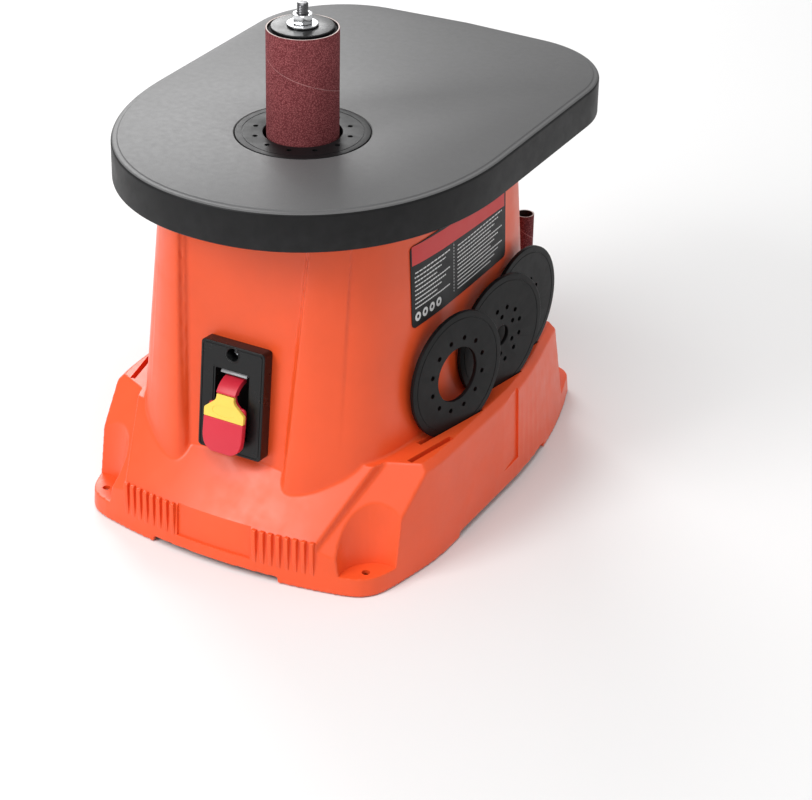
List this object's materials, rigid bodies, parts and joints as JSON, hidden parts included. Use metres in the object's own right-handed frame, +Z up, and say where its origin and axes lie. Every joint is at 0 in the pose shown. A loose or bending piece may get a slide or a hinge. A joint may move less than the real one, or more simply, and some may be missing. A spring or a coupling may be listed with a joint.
{
  "type": "oscillating spindle sander",
  "caption": "Bench-top oscillating spindle sander: wide moulded base, round-fronted table, upright sanding drum, front paddle switch.",
  "frame": {"origin": "on the bench, under the middle of the table", "axes": "+Z up, front towards -Y, +X to the right seen from behind"},
  "size_m": [0.279, 0.3802, 0.3815],
  "materials": {
    "orange_plastic": "satin",
    "black_plastic": "fine texture",
    "foot_rubber": "matt",
    "drum_rubber": "matt",
    "table_iron": "satin grey coating",
    "zinc": "zinc plated",
    "abrasive_paper": "grit",
    "red_plastic": "satin",
    "yellow_plastic": "satin",
    "cast_aluminium": "as cast",
    "steel": "machined",
    "laminations": "stacked sheets",
    "copper_wire": "enamelled",
    "bronze": "machined",
    "label_film": "printed film"
  },
  "bodies": {
    "frame": {"housing": "orange_plastic", "bottom_plate": "black_plastic", "rear_cover": "black_plastic", "rubber_foot_1": "foot_rubber", "rubber_foot_2": "foot_rubber", "rubber_foot_3": "foot_rubber", "rubber_foot_4": "foot_rubber", "table_top": "table_iron", "table_bolt_1": "zinc", "table_bolt_2": "zinc", "table_bolt_3": "zinc", "table_bolt_4": "zinc", "sleeve_peg_left": "black_plastic", "sleeve_peg_right": "black_plastic", "switch_plate": "black_plastic", "switch_body": "black_plastic", "switch_screw": "zinc", "motor_plate": "cast_aluminium", "motor_case": "steel", "upper_bracket": "cast_aluminium", "stator": "laminations", "upper_winding": "copper_wire", "lower_winding": "copper_wire", "upper_bearing": "steel", "lower_bearing": "steel", "capacitor": "cast_aluminium", "wheel_axle": "steel", "gear_bracket": "cast_aluminium", "guide_post_1": "steel", "guide_post_2": "steel", "dust_shroud": "black_plastic", "dust_port": "black_plastic", "cord_gland": "foot_rubber", "rating_label": "label_film"},
    "rotor": {"rotor_core": "laminations", "rotor_shaft": "steel", "cooling_fan": "black_plastic", "worm": "steel"},
    "wheel": {"worm_wheel": "bronze", "crank_pin": "steel"},
    "carrier": {"lift_carrier": "cast_aluminium", "carrier_bearing": "steel"},
    "spindle_line": {"spindle": "steel", "lower_washer": "zinc", "rubber_drum": "drum_rubber", "sanding_sleeve": "abrasive_paper", "drum_washer": "black_plastic", "small_washer": "zinc", "spindle_nut": "zinc"},
    "insert": {"table_insert": "black_plastic"},
    "spare_1": {"stored_insert_1": "black_plastic"},
    "spare_2": {"stored_insert_2": "black_plastic"},
    "spare_3": {"stored_insert_3": "black_plastic"},
    "spare_sleeve": {"stored_sleeve": "abrasive_paper"},
    "paddle": {"switch_paddle": "red_plastic"},
    "key": {"safety_key": "yellow_plastic"}
  },
  "joints": [
    {"name": "rotor_spin", "type": "hinge", "parent": "frame", "child": "rotor", "pos_m": [0, -0.0573, 0.15], "axis": [0, 0, 1], "continuous": true},
    {"name": "worm_wheel_spin", "type": "hinge", "parent": "frame", "child": "wheel", "pos_m": [0.03295, -0.0573, 0.076], "axis": [0, 1, 0], "continuous": true},
    {"name": "carrier_lift", "type": "slide", "parent": "frame", "child": "carrier", "axis": [0, 0, 1], "range_m": [-0.008, 0.008]},
    {"name": "spindle_lift", "type": "slide", "parent": "rotor", "child": "spindle_line", "axis": [0, 0, 1], "range_m": [-0.008, 0.008]},
    {"name": "table_insert_lift", "type": "slide", "parent": "frame", "child": "insert", "axis": [0, 0, 1], "range_m": [0, 0.1]},
    {"name": "stored_insert_1_lift", "type": "slide", "parent": "frame", "child": "spare_1", "axis": [-0.0255, 0.0058, 0.9997], "range_m": [0, 0.06]},
    {"name": "stored_insert_2_lift", "type": "slide", "parent": "frame", "child": "spare_2", "axis": [0, 0, 1], "range_m": [0, 0.06]},
    {"name": "stored_insert_3_lift", "type": "slide", "parent": "frame", "child": "spare_3", "axis": [0, 0, 1], "range_m": [0, 0.06]},
    {"name": "stored_sleeve_lift", "type": "slide", "parent": "frame", "child": "spare_sleeve", "axis": [0, 0, 1], "range_m": [0, 0.065]},
    {"name": "paddle_swing", "type": "hinge", "parent": "frame", "child": "paddle", "pos_m": [0, -0.14764, 0.13237], "axis": [-1, 0, 0], "range_deg": [0, 25]},
    {"name": "safety_key_pull", "type": "slide", "parent": "paddle", "child": "key", "axis": [0, -0.9842, 0.1771], "range_m": [0, 0.02]}
  ],
  "couplings": [
    {"joint": "worm_wheel_spin", "follows": "rotor_spin", "ratio": -0.029412},
    {"joint": "spindle_lift", "follows": "carrier_lift", "ratio": 1}
  ]
}
